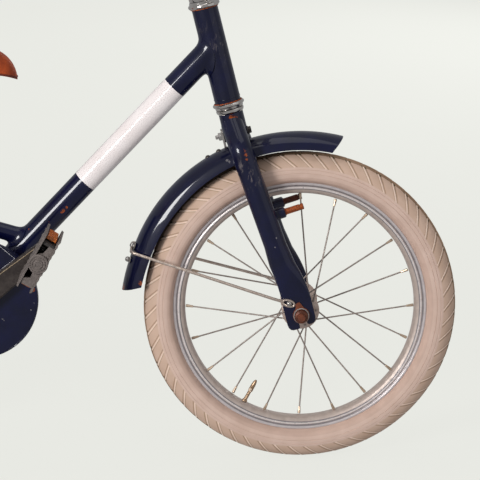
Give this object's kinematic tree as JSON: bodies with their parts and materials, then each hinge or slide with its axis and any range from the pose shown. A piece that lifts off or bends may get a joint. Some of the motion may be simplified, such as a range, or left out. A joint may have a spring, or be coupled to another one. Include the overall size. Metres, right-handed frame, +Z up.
{
  "type": "child bicycle",
  "caption": "Worn child's step-through bicycle with mudguards, a chain guard, a coaster brake and a bare-studded fork, parked leaning on its side stand.",
  "frame": {"origin": "on the floor, under the middle of the parked bicycle's bounding box", "axes": "+X forward, +Y to the rider's left, +Z up; the bicycle leans towards +Y on its stand"},
  "size_m": [1.104, 0.524, 0.7335],
  "materials": {
    "frame_paint": "worn gloss",
    "chrome": "spotted with rust",
    "bright_steel": "dull",
    "rusty_steel": "rusty",
    "rim_metal": "satin",
    "valve_brass": "dull",
    "tyre_rubber": "matte",
    "crank_steel": "dark, worn",
    "pedal_plastic": "worn",
    "reflector": "clear amber",
    "guard_plastic": "satin",
    "saddle_leather": "polished",
    "grip_rubber": "satin"
  },
  "bodies": {
    "frame": {"head_tube": "frame_paint", "headset_cups": "chrome", "down_tube": "frame_paint", "seat_tube": "frame_paint", "brace_tube": "frame_paint", "bottom_bracket_shell": "frame_paint", "chain_stay_left": "frame_paint", "chain_stay_right": "frame_paint", "seat_stay_left": "frame_paint", "seat_stay_right": "frame_paint", "stay_bridge": "frame_paint", "dropout_left": "frame_paint", "dropout_right": "frame_paint", "seat_collar": "chrome", "seat_post": "chrome", "saddle_clamp": "chrome", "saddle_rails": "chrome", "saddle": "saddle_leather", "rear_fender": "frame_paint", "rear_fender_stay": "bright_steel", "chain_guard": "guard_plastic", "chain": "rusty_steel", "rear_axle": "rusty_steel", "coaster_arm": "bright_steel", "stand_bracket": "bright_steel"},
    "steering": {"fork_crown": "frame_paint", "headset_races": "chrome", "fork_blade_left": "frame_paint", "fork_blade_right": "frame_paint", "brake_stud_left": "frame_paint", "brake_stud_right": "frame_paint", "stem": "chrome", "handlebar": "chrome", "grip_left": "grip_rubber", "grip_right": "grip_rubber", "front_fender": "frame_paint", "fender_bracket": "bright_steel", "crown_bolt": "bright_steel", "front_fender_stay": "bright_steel", "front_axle": "rusty_steel"},
    "front_wheel": {"front_tyre": "tyre_rubber", "front_rim": "rim_metal", "front_hub": "bright_steel", "front_spokes": "bright_steel", "front_valve": "valve_brass"},
    "rear_wheel": {"rear_tyre": "tyre_rubber", "rear_rim": "rim_metal", "rear_hub": "bright_steel", "rear_spokes": "bright_steel", "rear_valve": "valve_brass"},
    "rear_sprocket": {"sprocket": "rusty_steel"},
    "cranks": {"crank_axle": "bright_steel", "crank_left": "crank_steel", "crank_right": "crank_steel", "chainring": "rusty_steel"},
    "right_pedal": {"pedal_right": "pedal_plastic", "pedal_reflectors_right": "reflector"},
    "left_pedal": {"pedal_left": "pedal_plastic", "pedal_reflectors_left": "reflector"},
    "stand": {"stand_leg": "bright_steel"}
  },
  "joints": [
    {"name": "steering_turn", "type": "hinge", "parent": "frame", "child": "steering", "pos_m": [0.26128, -0.02038, 0.45921], "axis": [-0.2385, 0.1015, 0.9658], "range_deg": [-90, 90]},
    {"name": "front_wheel_spin", "type": "hinge", "parent": "steering", "child": "front_wheel", "pos_m": [0.35247, -0.04779, 0.19841], "axis": [0, 0.9945, -0.1045], "continuous": true},
    {"name": "rear_wheel_spin", "type": "hinge", "parent": "frame", "child": "rear_wheel", "pos_m": [-0.32753, -0.04779, 0.19841], "axis": [0, 0.9945, -0.1045], "continuous": true},
    {"name": "crank_spin", "type": "hinge", "parent": "frame", "child": "cranks", "pos_m": [-0.05145, -0.04544, 0.22078], "axis": [0, 0.9945, -0.1045], "continuous": true},
    {"name": "sprocket_spin", "type": "hinge", "parent": "frame", "child": "rear_sprocket", "pos_m": [-0.32753, -0.09354, 0.20322], "axis": [0, 0.9945, -0.1045], "continuous": true},
    {"name": "right_pedal_spin", "type": "hinge", "parent": "cranks", "child": "right_pedal", "pos_m": [0.03073, -0.12413, 0.29478], "axis": [0, 0.9945, -0.1045], "continuous": true},
    {"name": "left_pedal_spin", "type": "hinge", "parent": "cranks", "child": "left_pedal", "pos_m": [-0.13362, 0.03326, 0.14679], "axis": [0, 0.9945, -0.1045], "continuous": true},
    {"name": "stand_fold", "type": "hinge", "parent": "frame", "child": "stand", "pos_m": [-0.25353, 0.03487, 0.16207], "axis": [0, 0.9541, 0.2996], "range_deg": [0, 95]}
  ],
  "couplings": [
    {"joint": "sprocket_spin", "follows": "crank_spin", "ratio": 2}
  ]
}
